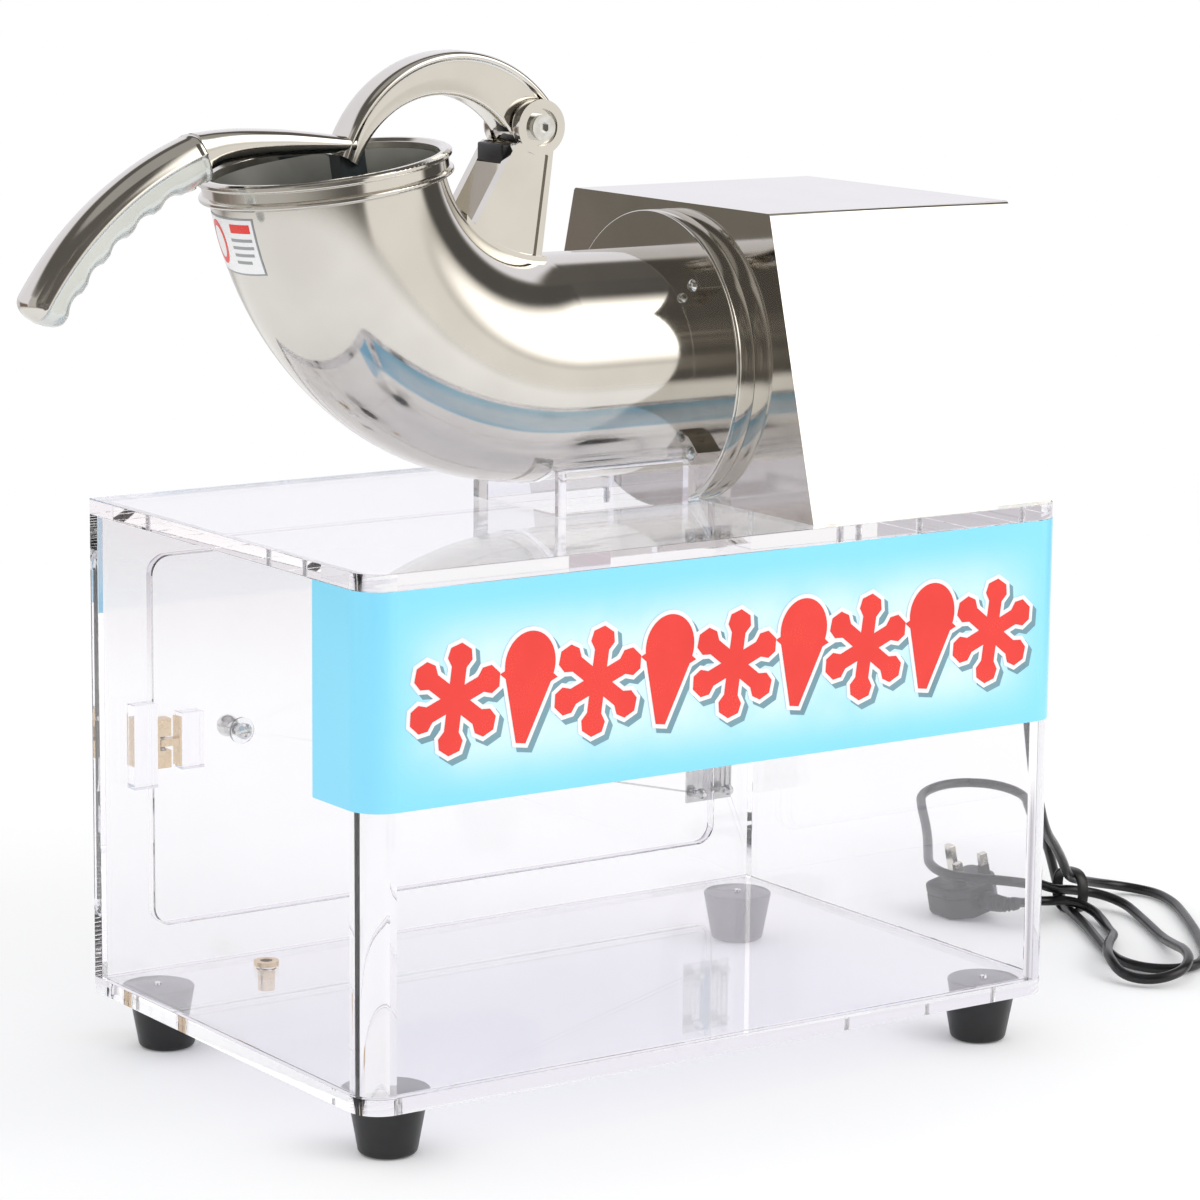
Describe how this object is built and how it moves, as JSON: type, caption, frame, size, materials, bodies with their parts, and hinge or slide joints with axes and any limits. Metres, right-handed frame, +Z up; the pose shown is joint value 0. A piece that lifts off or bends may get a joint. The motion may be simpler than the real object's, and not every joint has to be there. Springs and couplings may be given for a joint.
{
  "type": "shaved ice machine",
  "caption": "Countertop shaved ice maker: clear ice bin with a rear door, polished elbow feed tube with a lift-up press lever, and a mirror-finish motor cover.",
  "frame": {"origin": "middle of the machine's footprint box, cord left out, on the surface the feet stand on", "axes": "+X along the front from the mouth towards the motor, +Y from the front to the door at the back, +Z up"},
  "size_m": [0.9706, 0.4523, 0.6372],
  "materials": {
    "acrylic": "clear polished cast acrylic",
    "label_film": "printed gloss film",
    "mirror_steel": "mirror-polished stainless sheet",
    "cast_nickel": "polished nickel-plated casting",
    "silver_grip": "satin silver plated plastic",
    "bright_screws": "bright plated",
    "hinge_steel": "bright steel leaf",
    "clear_washer": "clear plastic washer",
    "brass": "pale brass",
    "ball_steel": "ground steel",
    "rubber": "black moulded rubber",
    "pusher_plastic": "dark grey moulded plastic",
    "motor_paint": "black enamel",
    "motor_alloy": "die-cast alloy",
    "core_steel": "turned laminations",
    "blade_steel": "ground stainless",
    "black_plastic": "black moulded plastic",
    "switch_red": "red moulded rocker",
    "capacitor_plastic": "off-white case",
    "cord_jacket": "black flexible jacket",
    "plug_pin_metal": "nickel-plated pins"
  },
  "bodies": {
    "cabinet": {"back_panel": "acrylic", "base_plate": "acrylic", "blade_cover": "mirror_steel", "blade_housing": "mirror_steel", "capacitor": "capacitor_plastic", "catch_block_frame": "acrylic", "catch_housing": "brass", "chute_collar": "acrylic", "cord_gland": "black_plastic", "cord_hank": "cord_jacket", "cord_loop": "cord_jacket", "cord_tie": "black_plastic", "drain_spout": "brass", "elbow_tube": "mirror_steel", "foot_screws": "bright_screws", "front_label": "label_film", "hinge_frame_leaves": "hinge_steel", "hinge_pins": "bright_screws", "hinge_screws_frame": "bright_screws", "housing_screws": "bright_screws", "lug_screws": "bright_screws", "motor_bearings": "ball_steel", "motor_end_bells": "motor_alloy", "motor_housing": "mirror_steel", "motor_mount": "motor_paint", "mouth_rim": "mirror_steel", "pivot_bolt": "bright_screws", "pivot_bracket": "cast_nickel", "pivot_nut": "bright_screws", "plug_body": "black_plastic", "plug_pins": "plug_pin_metal", "power_cord": "cord_jacket", "rubber_feet": "rubber", "stator_can": "motor_paint", "switch_frame": "black_plastic", "top_plate": "acrylic", "tube_lugs": "mirror_steel", "wrap_shell": "acrylic"},
    "door": {"door_panel": "acrylic", "door_knob": "bright_screws", "knob_washer": "clear_washer", "knob_screw": "bright_screws", "catch_block_door": "acrylic", "catch_strike": "brass", "hinge_door_leaves": "hinge_steel", "hinge_screws_door": "bright_screws"},
    "rotor": {"motor_shaft": "ball_steel", "rotor_core": "core_steel", "blade_disc": "blade_steel", "shaver_blades": "blade_steel", "blade_screws": "bright_screws", "disc_nut": "bright_screws"},
    "lever": {"lever_arm": "cast_nickel", "lever_bushing": "brass", "handle_grip": "silver_grip", "grip_screw": "bright_screws", "pusher_plate": "pusher_plastic"},
    "rocker": {"switch_rocker": "switch_red"},
    "ball_upper": {"catch_ball_upper": "ball_steel"},
    "ball_lower": {"catch_ball_lower": "ball_steel"}
  },
  "joints": [
    {"name": "lever_pivot", "type": "hinge", "parent": "cabinet", "child": "lever", "pos_m": [0.01184, -0.00915, 0.59], "axis": [0, 1, 0], "range_deg": [0, 95]},
    {"name": "door_hinge", "type": "hinge", "parent": "cabinet", "child": "door", "pos_m": [0.27534, 0.16075, 0.193], "axis": [0, 0, -1], "range_deg": [0, 170]},
    {"name": "rotor_spin", "type": "hinge", "parent": "cabinet", "child": "rotor", "pos_m": [0.15534, -0.00915, 0.4395], "axis": [1, 0, 0], "continuous": true},
    {"name": "rocker_tilt", "type": "hinge", "parent": "cabinet", "child": "rocker", "pos_m": [0.30854, 0.05285, 0.405], "axis": [0, 0, 1], "range_deg": [0, 16]},
    {"name": "ball_upper_slide", "type": "slide", "parent": "cabinet", "child": "ball_upper", "axis": [0, 0, 1], "range_m": [0, 0.0018], "stiffness_N_per_m": 400, "springref_m": -0.002},
    {"name": "ball_lower_slide", "type": "slide", "parent": "cabinet", "child": "ball_lower", "axis": [0, 0, -1], "range_m": [0, 0.0018], "stiffness_N_per_m": 400, "springref_m": -0.002}
  ]
}
